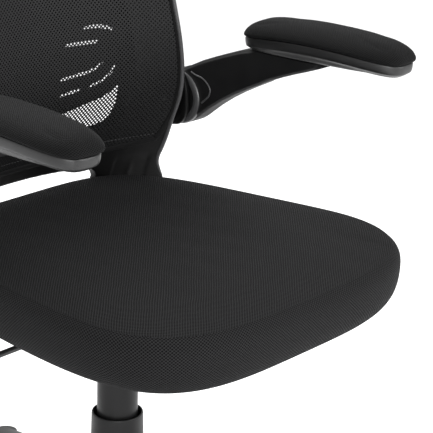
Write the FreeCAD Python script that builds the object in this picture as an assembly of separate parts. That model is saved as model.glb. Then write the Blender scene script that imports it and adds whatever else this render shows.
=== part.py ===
import FreeCAD, Part
import math
import os

# Office swivel chair with a net back, flip-up arms and a five-leg castor base.
# Millimetres. +Z up, origin on the floor under the column, the chair faces -Y.

V = FreeCAD.Vector

# ---------------------------------------------------------------- dimensions
# The seat and all it carries is drawn with the gas lift down and raised by LIFT_REST at the end.
LIFT_REST = 20.0
# seat
SEAT_TOP = 470.0
SEAT_THICK = 83.0
SEAT_HALF_W = 254.0
SEAT_HALF_D = 261.0
SEAT_Y = -61.0
SEAT_N_FRONT = 3.55
SEAT_N_REAR = 4.45
SEAT_TAPER = 0.15
BOARD_T = 12.0
BOARD_INSET = 48.0
FOOT_BOLTS = [(148, 58), (152, 96)]
BOX_BOLTS = [(80, -100), (80, 51)]
DUST_T = 2.0
# column
TUBE_R = 25.0
TUBE_WALL = 2.0
TUBE_Z = (62.0, 304.0)
CYL_R = 14.0
CYL_BORE = 11.5
ROD_R = 5.0
LOW_COVER_R = 34.5
LOW_COVER_RIM = 231.0
UP_COVER_R = 27.2
UP_COVER_Z = (150.0, 316.0)
HUB_TOP = 120.0
# tilt mechanism
TILT_Y, TILT_Z = -75.0, 352.0
TENSION_Y = -112.0
LEVER_Z = 355.0
LEVER_PIVOT_X = -41.0
# base and castors
LEG_FIRST_DEG = 75.0
CASTER_PCD_R = 316.0
WHEEL_R = 25.0
WHEEL_W = 17.0
TRAIL = 17.0
# back
BACK_K = 0.00113
BACK_TOP = 978.0
FRAME_T = 14.0
PANEL_T = 5.0
NET_T = 2.0
# arms
ARM_Y, ARM_Z = 125.0, 571.0
ARM_HUB_R = 38.5
ARM_IN_X = 252.0
ARM_OUT_X = 296.0
PAD_X, PAD_Y, PAD_Z = 286.0, -110.5, 663.0
PAD_L, PAD_W = 257.0, 88.0
PAD_YAW = 3.0
TRAY_T = 14.0
PAD_T = 28.0

parts = {}


# ------------------------------------------------------------------- helpers
def cyl(r, h, p, d=(0, 0, 1)):
    return Part.makeCylinder(r, h, V(*p), V(*d))


def box(x0, x1, y0, y1, z0, z1):
    return Part.makeBox(x1 - x0, y1 - y0, z1 - z0, V(x0, y0, z0))


def tube(ro, ri, z0, z1, x=0.0, y=0.0):
    return cyl(ro, z1 - z0, (x, y, z0)).cut(cyl(ri, z1 - z0 + 2, (x, y, z0 - 1)))


def closed_spline(pts):
    c = Part.BSplineCurve()
    c.interpolate(Points=[V(*p) for p in pts], PeriodicFlag=True)
    return Part.Wire([c.toShape()])


def spline_edge(pts):
    c = Part.BSplineCurve()
    c.interpolate(Points=[V(*p) for p in pts])
    return c.toShape()


def poly(pts):
    vs = [V(*p) for p in pts]
    return Part.makePolygon(vs + [vs[0]])


def loft(wires, ruled=False):
    return Part.makeLoft(wires, True, ruled)


def mirror_x(s):
    return s.mirror(V(0, 0, 0), V(1, 0, 0))


def put(name, *shapes):
    sol = []
    for s in shapes:
        sol.extend(s.Solids)
    parts[name] = sol[0] if len(sol) == 1 else Part.makeCompound(sol)


# ----------------------------------------------------------------- seat shape
def seat_wire(off, z):
    """Seat plan as an evenly spaced closed curve."""
    raw = []
    m = 720
    for i in range(m):
        t = 2 * math.pi * i / m
        c, s = math.cos(t), math.sin(t)
        e = SEAT_N_FRONT if s < 0 else SEAT_N_REAR
        y = math.copysign(abs(s) ** (2 / e), s) * (SEAT_HALF_D - off) if s else 0.0
        x = math.copysign(abs(c) ** (2 / e), c) * (SEAT_HALF_W - off - SEAT_TAPER * y) if c else 0.0
        raw.append((x, y))
    acc = [0.0]
    for i in range(m):
        a, b = raw[i], raw[(i + 1) % m]
        acc.append(acc[-1] + math.hypot(b[0] - a[0], b[1] - a[1]))
    n, j, pts = 48, 0, []
    for k in range(n):
        d = acc[-1] * k / n
        while acc[j + 1] < d:
            j += 1
        u = (d - acc[j]) / (acc[j + 1] - acc[j])
        a, b = raw[j], raw[(j + 1) % m]
        pts.append((a[0] + u * (b[0] - a[0]), a[1] + u * (b[1] - a[1]) + SEAT_Y, z))
    return closed_spline(pts)


def seat_plate(off, z0, z1):
    return Part.Face(seat_wire(off, z0)).extrude(V(0, 0, z1 - z0))


z_bot = SEAT_TOP - SEAT_THICK
mid = z_bot + 44.0
levels = [(45, z_bot), (22, z_bot + 6), (8, z_bot + 18), (1, z_bot + 34), (0, mid),
          (2, SEAT_TOP - 24), (8, SEAT_TOP - 12), (19, SEAT_TOP - 4), (34, SEAT_TOP)]
cushion = loft([seat_wire(o, z) for o, z in levels])
lip = cushion.copy()
lip.translate(V(0, 0, -11.0))
cushion = cushion.fuse(lip.common(box(-320, 320, -360, -215, 300, 430))).removeSplitter()
cushion = cushion.cut(seat_plate(BOARD_INSET, z_bot - 30, z_bot + DUST_T + BOARD_T))
put("seat_cushion", cushion)
board = seat_plate(BOARD_INSET, z_bot + DUST_T, z_bot + DUST_T + BOARD_T)
dust = seat_plate(BOARD_INSET + 2, z_bot, z_bot + DUST_T)
for x, y in FOOT_BOLTS + BOX_BOLTS:
    for sx in (-1, 1):
        h = cyl(3.95, 30.0, (sx * x, y, z_bot - 5))
        board, dust = board.cut(h), dust.cut(h)
put("seat_board", board)
put("seat_dust_cover", dust)

# ------------------------------------------------------------- tilt mechanism
plate_z = z_bot
box_side = 3.0
half = 52.0
wall_pts = [(half - box_side, -132, plate_z), (half - box_side, 78, plate_z), (half - box_side, 78, plate_z - 22),
            (half - box_side, 30, plate_z - 46), (half - box_side, -100, plate_z - 46),
            (half - box_side, -132, plate_z - 24)]
wall = Part.Face(poly(wall_pts)).extrude(V(box_side, 0, 0))
lever_slot = box(half - 10, half + 10, -11, 11, plate_z - 47, plate_z - 3)
wall_l = mirror_x(wall).cut(mirror_x(lever_slot))
mech = wall.fuse(wall_l)
mech = mech.fuse(box(-half, half, -132, -129, plate_z - 24, plate_z))
mech = mech.fuse(box(-half, half, 75, 78, plate_z - 22, plate_z))
mech = mech.fuse(box(-half, half, -129, -92, plate_z - 3, plate_z))
for sx in (-1, 1):
    for y0, y1 in ((-125, -75), (28, 74)):
        xs = sorted((sx * half, sx * 98))
        mech = mech.fuse(box(xs[0], xs[1], y0, y1, plate_z - 3, plate_z))
bolt_xy = [(sx * x, y) for sx in (-1, 1) for x, y in BOX_BOLTS]
for x, y in bolt_xy:
    mech = mech.cut(cyl(4.2, 10, (x, y, plate_z - 6)))
mech = mech.cut(cyl(6.02, 120, (-60, TILT_Y, TILT_Z), (1, 0, 0)))
mech = mech.cut(cyl(5.02, 20, (0, TENSION_Y, plate_z - 10)))
put("tilt_box", mech.removeSplitter())


def screw(r, head_r, head_h, length, p):
    """Bolt pointing up, head underneath at p."""
    s = cyl(head_r, head_h, p).fuse(cyl(r, length, (p[0], p[1], p[2] + head_h)))
    return s.cut(cyl(r * 0.55, head_h * 0.6, p))


bolts = []
for x, y in bolt_xy:
    bolts.append(screw(3.9, 7.5, 4.5, 14.0, (x, y, plate_z - 3 - 4.5)))
put("tilt_box_bolts", *bolts)

# inner block: carries the column socket and swings in the box on the pivot pin
blk_half = 44.0
prof = [(-blk_half, -124, 340), (-blk_half, -96, 364), (-blk_half, -62, 364), (-blk_half, -30, 350),
        (-blk_half, 26, 345), (-blk_half, 26, 326), (-blk_half, -40, 326), (-blk_half, -100, 330), (-blk_half, -124, 332)]
block = Part.Face(poly(prof)).extrude(V(2 * blk_half, 0, 0))
block = block.cut(box(-36, 36, -62, -28, 332, 380))
block = block.fuse(cyl(21.0, 34.0, (0, 0, 316)))
block = block.cut(cyl(CYL_R + 0.02, 60, (0, 0, 300)))
block = block.cut(cyl(6.05, 120, (-60, TILT_Y, TILT_Z), (1, 0, 0)))
block = block.cut(cyl(11.0, 60, (0, TENSION_Y, 310)))
# trough for the lever sleeve and rod
block = block.cut(box(-60, 12, -9, 9, 345, 380))
ears = box(-48.4, -33.6, -16, -9.2, 340, 366).fuse(box(-48.4, -33.6, 9.2, 16, 340, 366))
ears = ears.cut(cyl(3.05, 60, (LEVER_PIVOT_X, -30, LEVER_Z), (0, 1, 0)))
block = block.fuse(ears).removeSplitter()
put("tilt_block", block)
put("tilt_pivot_pin", cyl(6.0, 112, (-56, TILT_Y, TILT_Z), (1, 0, 0)))

# spring and adjuster in front of the pivot
knob_z = 285.0
knob_h = 14.0
put("tension_bolt", cyl(5.0, plate_z - 3 - knob_z - 8 + 3, (0, TENSION_Y, knob_z + 8)).fuse(
    cyl(9.0, 5.0, (0, TENSION_Y, plate_z - 8.2))).removeSplitter())
knob = cyl(26.0, knob_h, (0, TENSION_Y, knob_z))
for i in range(10):
    a = 2 * math.pi * i / 10
    knob = knob.cut(cyl(4.0, 30.0, (28.2 * math.cos(a), TENSION_Y + 28.2 * math.sin(a), knob_z - 4)))
knob = knob.cut(cyl(5.03, 30.0, (0, TENSION_Y, knob_z + 7.9)))
put("tension_knob", knob)
coil = Part.makeHelix(5.6, 26.0, 15.5)
wire_r = 1.9
sec = Part.Wire([Part.makeCircle(wire_r, V(15.5, 0, 0), V(0, 1, 0.06))])
spring = Part.Wire(coil.Edges).makePipeShell([sec], True, False)
spring.translate(V(0, TENSION_Y, knob_z + knob_h + 2.2))
put("tension_spring", spring)

# height lever: sleeve rocks on the block, the rod slides in it
px = LEVER_PIVOT_X
sleeve = box(px - 7, px + 13, -7.5, 7.5, LEVER_Z - 7, LEVER_Z + 7)
sleeve = sleeve.fuse(cyl(3.0, 32.0, (px, -16, LEVER_Z), (0, 1, 0)))
sleeve = sleeve.cut(cyl(4.04, 60.0, (px - 30, 0, LEVER_Z), (1, 0, 0)))
put("lever_sleeve", sleeve)
rod = cyl(4.0, 300.0, (-290.0, 0, LEVER_Z), (1, 0, 0))
put("lever_rod", rod)
grip_pts = [(-250, -9, LEVER_Z), (-258, -12, LEVER_Z), (-294, -13, LEVER_Z), (-306, -9, LEVER_Z),
            (-306, 9, LEVER_Z), (-294, 13, LEVER_Z), (-258, 12, LEVER_Z), (-250, 9, LEVER_Z)]
grip = Part.Face(poly([(x, y, z - 4.5) for x, y, z in grip_pts])).extrude(V(0, 0, 9.0))
grip = grip.cut(cyl(4.0, 60.0, (-290.0, 0, LEVER_Z), (1, 0, 0)))
put("lever_grip", grip)

# --------------------------------------------------------------------- column
z0, z1 = TUBE_Z
outer = tube(TUBE_R, TUBE_R - TUBE_WALL, z0, z1)
outer = outer.fuse(tube(TUBE_R - TUBE_WALL, ROD_R + 0.06, z0 + 6, z0 + 10))
put("lift_outer_tube", outer.removeSplitter())
put("lift_guide_bush", tube(TUBE_R - TUBE_WALL, CYL_R + 0.06, z1 - 92, z1 - 2))
put("lift_thrust_bearing", tube(15.0, ROD_R + 0.06, z0 + 10, z0 + 18))
put("lift_piston_rod", cyl(ROD_R, 170.0 + LIFT_REST, (0, 0, z0 + 1)).fuse(
    cyl(9.0, 4.0, (0, 0, z0 + 18.2))).fuse(cyl(CYL_BORE - 0.06, 12.0, (0, 0, z0 + 171 + LIFT_REST))).removeSplitter())
put("lift_retaining_clip", tube(11.0, ROD_R, z0 + 2.6, z0 + 5.6))
cyl_top = 347.5
cylinder = cyl(CYL_R, cyl_top - 152.0, (0, 0, 152.0))
cylinder = cylinder.cut(cyl(CYL_BORE, cyl_top - 152 - 24, (0, 0, 164.0)))
cylinder = cylinder.cut(cyl(ROD_R + 0.06, 40.0, (0, 0, 140.0)))
cylinder = cylinder.cut(cyl(3.06, 40.0, (0, 0, cyl_top - 30)))
put("lift_cylinder", cylinder)
put("lift_valve_pin", cyl(3.0, 20.2, (0, 0, cyl_top - 17)))

lc_out = [(LOW_COVER_R + 2.2, HUB_TOP + 0.2), (LOW_COVER_R, LOW_COVER_RIM - 3.0), (LOW_COVER_R - 0.6, LOW_COVER_RIM),
          (LOW_COVER_R - 2.4, LOW_COVER_RIM), (LOW_COVER_R + 0.0, HUB_TOP + 0.2)]
low = Part.Face(poly([(r, 0, z) for r, z in lc_out])).revolve(V(0, 0, 0), V(0, 0, 1), 360)
put("lift_lower_cover", low)
up = tube(UP_COVER_R, TUBE_R + 0.6, UP_COVER_Z[0], UP_COVER_Z[1] - 3)
up = up.fuse(tube(UP_COVER_R, CYL_R + 0.4, UP_COVER_Z[1] - 3, UP_COVER_Z[1]))
put("lift_upper_cover", up.removeSplitter())

# ----------------------------------------------------------------- star base
hub = cyl(36.0, HUB_TOP - 64.0, (0, 0, 64.0))
leg_secs = [(18.0, 50.0, 44.0, 74.0, 118.0), (110.0, 46.0, 38.0, 72.0, 114.5), (200.0, 41.0, 33.0, 65.0, 101.0),
            (275.0, 37.0, 30.0, 57.0, 84.0), (CASTER_PCD_R + 16, 33.0, 26.0, 52.5, 74.0)]


def leg_wire(r, wb, wt, zb, zt):
    b, t = wb / 2, wt / 2
    return poly([(r, -b, zb), (r, b, zb), (r, b, zt - 12), (r, t, zt - 3), (r, t - 7, zt), (r, -t + 7, zt),
                 (r, -t, zt - 3), (r, -b, zt - 12)])


leg = loft([leg_wire(*s) for s in leg_secs])
tip = cyl(17.0, 22.0, (CASTER_PCD_R, 0, 52.5))
base = hub
leg_deg = [LEG_FIRST_DEG + 72 * i for i in range(5)]
for a in leg_deg:
    l = leg.fuse(tip)
    l.rotate(V(0, 0, 0), V(0, 0, 1), a)
    base = base.fuse(l)
base = base.cut(cyl(TUBE_R, 100, (0, 0, 50)))
for a in leg_deg:
    r = math.radians(a)
    base = base.cut(cyl(5.55, 21.0, (CASTER_PCD_R * math.cos(r), CASTER_PCD_R * math.sin(r), 50)))
put("star_base", base.removeSplitter())


# ------------------------------------------------------------------- castors
def place(s, a):
    """Move a castor piece from the origin to its leg, trailing outwards."""
    s = s.copy()
    s.rotate(V(0, 0, 0), V(0, 0, 1), a)
    r = math.radians(a)
    s.translate(V(CASTER_PCD_R * math.cos(r), CASTER_PCD_R * math.sin(r), 0))
    return s


ax = TRAIL
hood = cyl(WHEEL_R + 2.0, 9.0, (ax, -4.5, WHEEL_R), (0, 1, 0)).cut(box(-60, 90, -30, 30, -40, 12))
crown = cyl(WHEEL_R + 2.4, 46.0, (ax, -23.0, WHEEL_R), (0, 1, 0))
crown = crown.cut(cyl(WHEEL_R + 0.9, 60.0, (ax, -30.0, WHEEL_R), (0, 1, 0)))
crown = crown.cut(box(-60, 90, -40, 40, -60, WHEEL_R + 4))
boss = cyl(11.0, 26.0, (0, 0, 24.0))
boss = boss.cut(cyl(WHEEL_R + 0.9, 60.0, (ax, 4.5, WHEEL_R), (0, 1, 0))).cut(
    cyl(WHEEL_R + 0.9, 60.0, (ax, -64.5, WHEEL_R), (0, 1, 0)))
hood = hood.fuse(crown).fuse(boss)
hood = hood.cut(box(-90, 90, -60, 60, 51.6, 90))
hood = hood.cut(cyl(5.5, 40.0, (0, 0, 34.0)))
hood = hood.cut(cyl(3.0, 80.0, (ax, -40, WHEEL_R), (0, 1, 0)))
hood = hood.removeSplitter()
stem = cyl(5.5, 36.0, (0, 0, 34.0))
axle = cyl(3.0, 40.0, (ax, -20, WHEEL_R), (0, 1, 0))
wheel = cyl(WHEEL_R, WHEEL_W, (ax, 5.9, WHEEL_R), (0, 1, 0))
wheel = wheel.makeFillet(2.5, [e for e in wheel.Edges if len(e.Vertexes) == 1])
wheel = wheel.cut(cyl(15.0, 4.0, (ax, 5.9 + WHEEL_W - 3.0, WHEEL_R), (0, 1, 0)))
wheel = wheel.cut(cyl(3.05, 60.0, (ax, -20, WHEEL_R), (0, 1, 0)))
wheel2 = wheel.mirror(V(0, 0, 0), V(0, 1, 0))
for i, a in enumerate(leg_deg):
    put("caster_%d_hood" % (i + 1), place(hood, a))
    put("caster_%d_pins" % (i + 1), place(stem, a), place(axle, a))
    put("caster_%d_wheels" % (i + 1), place(wheel, a), place(wheel2, a))

# ----------------------------------------------------------------------- back
PROFILE = [(360, 228), (400, 227), (450, 219.5), (520, 195), (600, 172), (650, 170), (700, 175), (800, 195), (900, 225),
           (BACK_TOP + 12, 256)]


def back_y0(z):
    """Centre line of the back, a smooth curve through PROFILE."""
    p = PROFILE
    if z <= p[0][0]:
        return p[0][1]
    if z >= p[-1][0]:
        return p[-1][1]
    for i in range(len(p) - 1):
        if p[i][0] <= z <= p[i + 1][0]:
            h = p[i + 1][0] - p[i][0]
            t = (z - p[i][0]) / h

            def slope(k):
                if k == 0:
                    return (p[1][1] - p[0][1]) / (p[1][0] - p[0][0])
                if k == len(p) - 1:
                    return (p[-1][1] - p[-2][1]) / (p[-1][0] - p[-2][0])
                return (p[k + 1][1] - p[k - 1][1]) / (p[k + 1][0] - p[k - 1][0])
            m0, m1 = slope(i) * h, slope(i + 1) * h
            return ((2 * t ** 3 - 3 * t ** 2 + 1) * p[i][1] + (t ** 3 - 2 * t ** 2 + t) * m0 +
                    (-2 * t ** 3 + 3 * t ** 2) * p[i + 1][1] + (t ** 3 - t ** 2) * m1)


def slab(a, b, z_lo=364.0, z_hi=None, wide=262.0):
    """Curved slab between offsets a and b in y from the back's centre surface."""
    z_hi = BACK_TOP + 10 if z_hi is None else z_hi
    zs = [z_lo + (z_hi - z_lo) * i / 12 for i in range(13)]
    wires = []
    xs = [-wide + 2 * wide * i / 8 for i in range(9)]
    for z in zs:
        y = back_y0(z)
        f = [(x, y - BACK_K * x * x + a, z) for x in xs]
        g = [(x, y - BACK_K * x * x + b, z) for x in reversed(xs)]
        e1, e3 = spline_edge(f), spline_edge(g)
        e2 = Part.makeLine(V(*f[-1]), V(*g[0]))
        e4 = Part.makeLine(V(*g[-1]), V(*f[0]))
        wires.append(Part.Wire([e1, e2, e3, e4]))
    return loft(wires)


OUT_UP = [(0, BACK_TOP), (60, 976), (113, 967), (157, 950), (189, 922), (206, 884), (214, 838), (219.5, 780),
          (225.5, 713), (230.5, 657), (234, 612), (235, 578), (233, 543), (232, 512), (231, 497)]
OUT_LEG = [(231, 497), (230, 485), (231.5, 476), (238, 462), (244, 450), (246, 432), (237, 404), (221, 376)]
ARCH = [(150, 376), (150, 425), (149.5, 452), (147, 466), (140, 474.5), (125, 478), (90, 479.5), (0, 480)]


def xz_face(segs, y=-40.0):
    edges = [spline_edge([(x, y, z) for x, z in s]) if len(s) > 2 else
             Part.makeLine(V(s[0][0], y, s[0][1]), V(s[1][0], y, s[1][1])) for s in segs]
    return Part.Face(Part.Wire(edges))


def rev_m(pts):
    """Mirror a half outline to -X, in reverse order."""
    return [(-x, z) for x, z in reversed(pts)]


def prism(segs, depth=400.0):
    return xz_face(segs).extrude(V(0, depth, 0))


outline = prism([rev_m(OUT_UP)[:-1] + OUT_UP, OUT_LEG, [(221, 376), (150, 376)],
                 ARCH + rev_m(ARCH)[1:], [(-150, 376), (-221, 376)], rev_m(OUT_LEG)])
IN_UP = [(0, 938), (55, 936), (100, 926), (132, 905), (150, 870), (156, 820), (160, 760), (164, 700), (168, 650),
         (170, 610), (169, 576), (160, 551), (132, 538.5), (80, 534), (0, 533)]
hole = prism([IN_UP, rev_m(IN_UP)])
frame = outline.cut(hole).common(slab(-FRAME_T / 2, FRAME_T / 2))
# oval ears that carry the arm pivots, and feet that run under the seat board
EAR_X = (241.0, 250.5)


def oval(cy, cz, hy, hz, e, x0, x1, n=40):
    """Plate across X with a superellipse outline in Y and Z."""
    pts = []
    for i in range(n):
        t = 2 * math.pi * i / n
        c, sn = math.cos(t), math.sin(t)
        c = 0.0 if abs(c) < 1e-9 else c
        sn = 0.0 if abs(sn) < 1e-9 else sn
        pts.append((x0, cy + math.copysign(abs(c) ** (2 / e), c) * hy, cz + math.copysign(abs(sn) ** (2 / e), sn) * hz))
    return Part.Face(closed_spline(pts)).extrude(V(x1 - x0, 0, 0))


for sx in (-1, 1):
    b = oval(127.0, 573.0, 27.0, 41.0, 2.4, EAR_X[0], EAR_X[1])
    # root that ties the ear to the back of the frame's edge
    b = b.fuse(oval(132.0, 572.0, 13.0, 32.0, 3.2, 221.0, EAR_X[0] + 2))
    foot = Part.Face(poly([(132, 44, 374.4), (176, 44, 374.4), (214, 160, 374.4), (214, 200, 374.4), (150, 200, 374.4)])).extrude(V(0, 0, 12.0))
    foot = foot.common(slab(-200, FRAME_T / 2, 360))
    b = b.fuse(foot)
    if sx < 0:
        b = mirror_x(b)
    frame = frame.fuse(b)
for sx in (-1, 1):
    xs = 215.0 if sx > 0 else -255.0
    frame = frame.cut(cyl(8.02, 40.0, (xs, ARM_Y, ARM_Z), (1, 0, 0)))
    for x, y in FOOT_BOLTS:
        frame = frame.cut(cyl(4.2, 30.0, (sx * x, y, 365)))
put("back_frame", frame.removeSplitter())
fb = []
for sx in (-1, 1):
    for x, y in FOOT_BOLTS:
        fb.append(screw(3.9, 7.5, 4.5, 22.0, (sx * x, y, 374.4 - 4.5)))
put("back_frame_bolts", *fb)


# slotted lumbar panel behind the net
def off_curve(pts, w):
    """Closed leaf of half width w(t) round an open curve."""
    n = len(pts)
    up, dn = [], []
    for i, (x, z) in enumerate(pts):
        a = pts[max(0, i - 1)]
        b = pts[min(n - 1, i + 1)]
        d = math.hypot(b[0] - a[0], b[1] - a[1])
        nx, nz = -(b[1] - a[1]) / d, (b[0] - a[0]) / d
        h = w[i]
        up.append((x + nx * h, z + nz * h))
        dn.append((x - nx * h, z - nz * h))
    return up + dn[::-1]


LEAVES = [
    ([(106, 684), (120, 685), (136, 683.5), (151, 678.5)], [1.4, 2.4, 2.6, 1.8]),
    ([(72, 664), (92, 664.6), (113, 664.4), (134, 663.8)], [1.8, 2.5, 2.5, 1.8]),
    ([(66, 617.4), (88.5, 620.3), (109.4, 622.8), (125.4, 628.1), (137.5, 638)], [1.7, 2.4, 2.4, 2.3, 1.6]),
    ([(69, 594.4), (80, 596.2), (92, 597.9), (105, 599.9)], [1.7, 2.4, 2.4, 1.7]),
    ([(113, 601.4), (127.7, 605.9), (137.2, 610.7), (146.6, 618.5), (152.3, 630.5)], [1.7, 2.4, 2.4, 2.3, 1.5]),
    ([(30, 772), (36, 802), (52, 832), (76, 858)], [2.2, 3.6, 3.6, 2.2]),
    ([(66, 764), (74, 790), (92, 816), (118, 838)], [2.2, 3.6, 3.6, 2.2]),
    ([(30, 852), (40, 874), (58, 894), (82, 910)], [2.2, 3.6, 3.6, 2.2]),
    ([(104, 772), (114, 788), (128, 801), (146, 811)], [2.2, 3.4, 3.4, 2.2]),
]
BIG = [[(72, 566), (92, 570.5), (115.6, 577.2), (140.8, 586.2), (151.5, 594.2), (160.5, 604)],
       [(160.5, 604), (160.5, 582), (158, 561), (149, 548), (128, 541.5), (100, 539), (72, 538.5)],
       [(72, 538.5), (72, 566)]]
pan_out = [(x * 1.05 if x else 0, z + (8 if z > 750 else -8)) for x, z in IN_UP]
panel = prism([pan_out, rev_m(pan_out)])
for c, w in LEAVES:
    lf = off_curve(c, w)
    p = Part.Face(poly([(x, -40, z) for x, z in lf])).extrude(V(0, 400, 0))
    panel = panel.cut(p).cut(mirror_x(p))
p = prism(BIG)
panel = panel.cut(p).cut(mirror_x(p))
panel = panel.common(slab(FRAME_T / 2 + 0.2, FRAME_T / 2 + 0.2 + PANEL_T))
put("lumbar_panel", panel)

NET_UP = [(max(0, x - 4) if x else 0, z - (5 if z > 900 else 0)) for x, z in OUT_UP[:-2]] + [(226, 524), (218, 510)]
# the edge strip follows the rim of the frame and runs on down the outside of the legs
RIM = OUT_UP[:-1] + OUT_LEG[:6]
NET_LOW = [(218, 510), (170, 503), (90, 499), (0, 498)]
net = prism([rev_m(NET_UP)[:-1] + NET_UP, NET_LOW + rev_m(NET_LOW)[1:]])
net = net.common(slab(-FRAME_T / 2 - 0.4 - NET_T, -FRAME_T / 2 - 0.4))


def offset_out(pts, d):
    res = []
    for i, (x, z) in enumerate(pts):
        a = pts[max(0, i - 1)] if i else (-pts[1][0], pts[1][1])
        b = pts[min(len(pts) - 1, i + 1)]
        L = math.hypot(b[0] - a[0], b[1] - a[1])
        res.append((x - (b[1] - a[1]) / L * d, z + (b[0] - a[0]) / L * d))
    return res


pip_o = offset_out(RIM, 3.0)
pip_i = offset_out(RIM, 0.2)
piping = prism([rev_m(pip_o)[:-1] + pip_o, [pip_o[-1], pip_i[-1]], (rev_m(pip_i)[:-1] + pip_i)[::-1],
                [(-pip_i[-1][0], pip_i[-1][1]), (-pip_o[-1][0], pip_o[-1][1])]])
piping = piping.common(slab(-FRAME_T / 2 - 2.0, FRAME_T / 2 - 6.0))
for sx in (-1, 1):
    ear = oval(127.0, 573.0, 27.4, 41.4, 2.4, 240.6, 251.0).fuse(oval(132.0, 572.0, 13.4, 32.4, 3.2, 220.6, 244.0))
    ear = ear.fuse(cyl(8.6, 40.0, (220.0, ARM_Y, ARM_Z), (1, 0, 0)))
    ear = ear if sx > 0 else mirror_x(ear)
    piping = piping.cut(ear)
    net = net.cut(ear)
put("back_net", net)
put("edge_piping", piping)

# ----------------------------------------------------------------------- arms
ARM_TOP = [(135, 605), (122, 611.5), (110, 617.5), (100, 622.5), (89, 628), (67, 637), (46, 645), (18, 655), (-5, 661), (-12, 662.4)]
ARM_BOT = [(-136, 662.4), (-130, 658.5), (-112, 651), (-93, 644), (-73, 637), (-52, 629), (-32, 621), (-12, 611), (9, 600.5),
           (30, 589.5), (51, 577), (73, 562), (95, 544.5), (110, 534.4), (127, 536)]


def arm_profile(x, top, bot):
    return poly([(x, y, z) for y, z in top + bot])


def pad_wire(off, z, n=36):
    pts = []
    e = 2.5
    ca, sa = math.cos(math.radians(PAD_YAW)), math.sin(math.radians(PAD_YAW))
    for i in range(n):
        t = 2 * math.pi * i / n
        c, s = math.cos(t), math.sin(t)
        if abs(c) < 1e-9:
            c = 0.0
        if abs(s) < 1e-9:
            s = 0.0
        x = math.copysign(abs(c) ** (2 / e), c) * (PAD_W / 2 - off)
        y = math.copysign(abs(s) ** (2 / e), s) * (PAD_L / 2 - off)
        pts.append((PAD_X + x * ca - y * sa, PAD_Y + x * sa + y * ca, z))
    return closed_spline(pts)


def shrunk(pts, d):
    return [(y, z + d) for y, z in pts]


beam = Part.Face(arm_profile(ARM_IN_X + 7, ARM_TOP, ARM_BOT)).extrude(V(ARM_OUT_X - ARM_IN_X - 13, 0, 0))
cheek = shrunk(ARM_TOP, -4) + [(-108, 658.4)] + shrunk(ARM_BOT[2:], 3)
beam = beam.fuse(Part.Face(poly([(ARM_IN_X + 3, y, z) for y, z in cheek])).extrude(V(ARM_OUT_X - ARM_IN_X - 3.6, 0, 0)))
armhub = cyl(ARM_HUB_R, ARM_OUT_X - ARM_IN_X - 2, (ARM_IN_X, ARM_Y, ARM_Z), (1, 0, 0))
beam = beam.fuse(armhub)
beam = beam.cut(cyl(8.05, 60.0, (ARM_IN_X - 2, ARM_Y, ARM_Z), (1, 0, 0)))
beam = beam.cut(cyl(17.0, 20.0, (ARM_OUT_X - 12, ARM_Y, ARM_Z), (1, 0, 0)))
pad_ca, pad_sa = math.cos(math.radians(PAD_YAW)), math.sin(math.radians(PAD_YAW))
scr = [(284.0, -20.0), (278.0, -66.0), (284.0, -108.0)]
for x, y in scr:
    beam = beam.cut(cyl(2.6, 60.0, (x, y, PAD_Z - 40)))
    beam = beam.cut(cyl(5.2, 40.0, (x, y, PAD_Z - 48)))
put("arm_beam_left", beam.removeSplitter())
tray = loft([pad_wire(5, PAD_Z), pad_wire(1.5, PAD_Z + 3.5), pad_wire(0, PAD_Z + TRAY_T)])
for x, y in scr:
    tray = tray.cut(cyl(2.3, 11.0, (x, y, PAD_Z - 1)))
put("arm_tray_left", tray)
padz = PAD_Z + TRAY_T
pad = loft([pad_wire(1.6, padz), pad_wire(0.2, padz + 6), pad_wire(3.2, padz + 14), pad_wire(9, padz + 21),
            pad_wire(18, padz + 26), pad_wire(30, padz + PAD_T)])
put("arm_pad_left", pad)
scs = []
for x, y in scr:
    scs.append(cyl(4.6, 2.6, (x, y, PAD_Z - 10.6)).fuse(cyl(2.25, 17.5, (x, y, PAD_Z - 8))).removeSplitter())
put("arm_pad_screws_left", *scs)
put("arm_pivot_pin_left", cyl(8.0, 58.0, (224.0, ARM_Y, ARM_Z), (1, 0, 0)))
cap = cyl(16.8, 3.0, (ARM_OUT_X - 3.4, ARM_Y, ARM_Z), (1, 0, 0))
cap = cap.fuse(cyl(14.0, 4.0, (ARM_OUT_X - 7.2, ARM_Y, ARM_Z), (1, 0, 0))).removeSplitter()
put("arm_hub_cap_left", cap)
washer = cyl(16.0, 1.2, (250.65, ARM_Y, ARM_Z), (1, 0, 0)).cut(cyl(8.05, 6.0, (249, ARM_Y, ARM_Z), (1, 0, 0)))
put("arm_washer_left", washer)
for n in ("arm_beam", "arm_tray", "arm_pad", "arm_pad_screws", "arm_pivot_pin", "arm_hub_cap", "arm_washer"):
    put(n + "_right", mirror_x(parts[n + "_left"]))

# ------------------------------------------------- rest height of the gas lift
LOW = ("star_base", "lift_outer_tube", "lift_guide_bush", "lift_thrust_bearing", "lift_piston_rod", "lift_retaining_clip",
       "lift_lower_cover")
for name in list(parts):
    if name not in LOW and not name.startswith("caster_"):
        moved = parts[name].copy()
        moved.translate(V(0, 0, LIFT_REST))
        parts[name] = moved

# -------------------------------------------------------------------- writing
os.makedirs("parts", exist_ok=True)
for f in os.listdir("parts"):
    if f.endswith(".step") and f[:-5] not in parts:
        os.remove(os.path.join("parts", f))
tot = None
for name, s in sorted(parts.items()):
    ok = s.isValid()
    bb = s.BoundBox
    print("%-24s solids %d valid %s vol %.0f  x %.1f..%.1f y %.1f..%.1f z %.1f..%.1f" % (
        name, len(s.Solids), ok, s.Volume, bb.XMin, bb.XMax, bb.YMin, bb.YMax, bb.ZMin, bb.ZMax))
    s.exportStep("parts/%s.step" % name)
print(len(parts), "nodes")
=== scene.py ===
import math

import bpy
import numpy as np
from mathutils import Matrix, Vector


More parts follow.
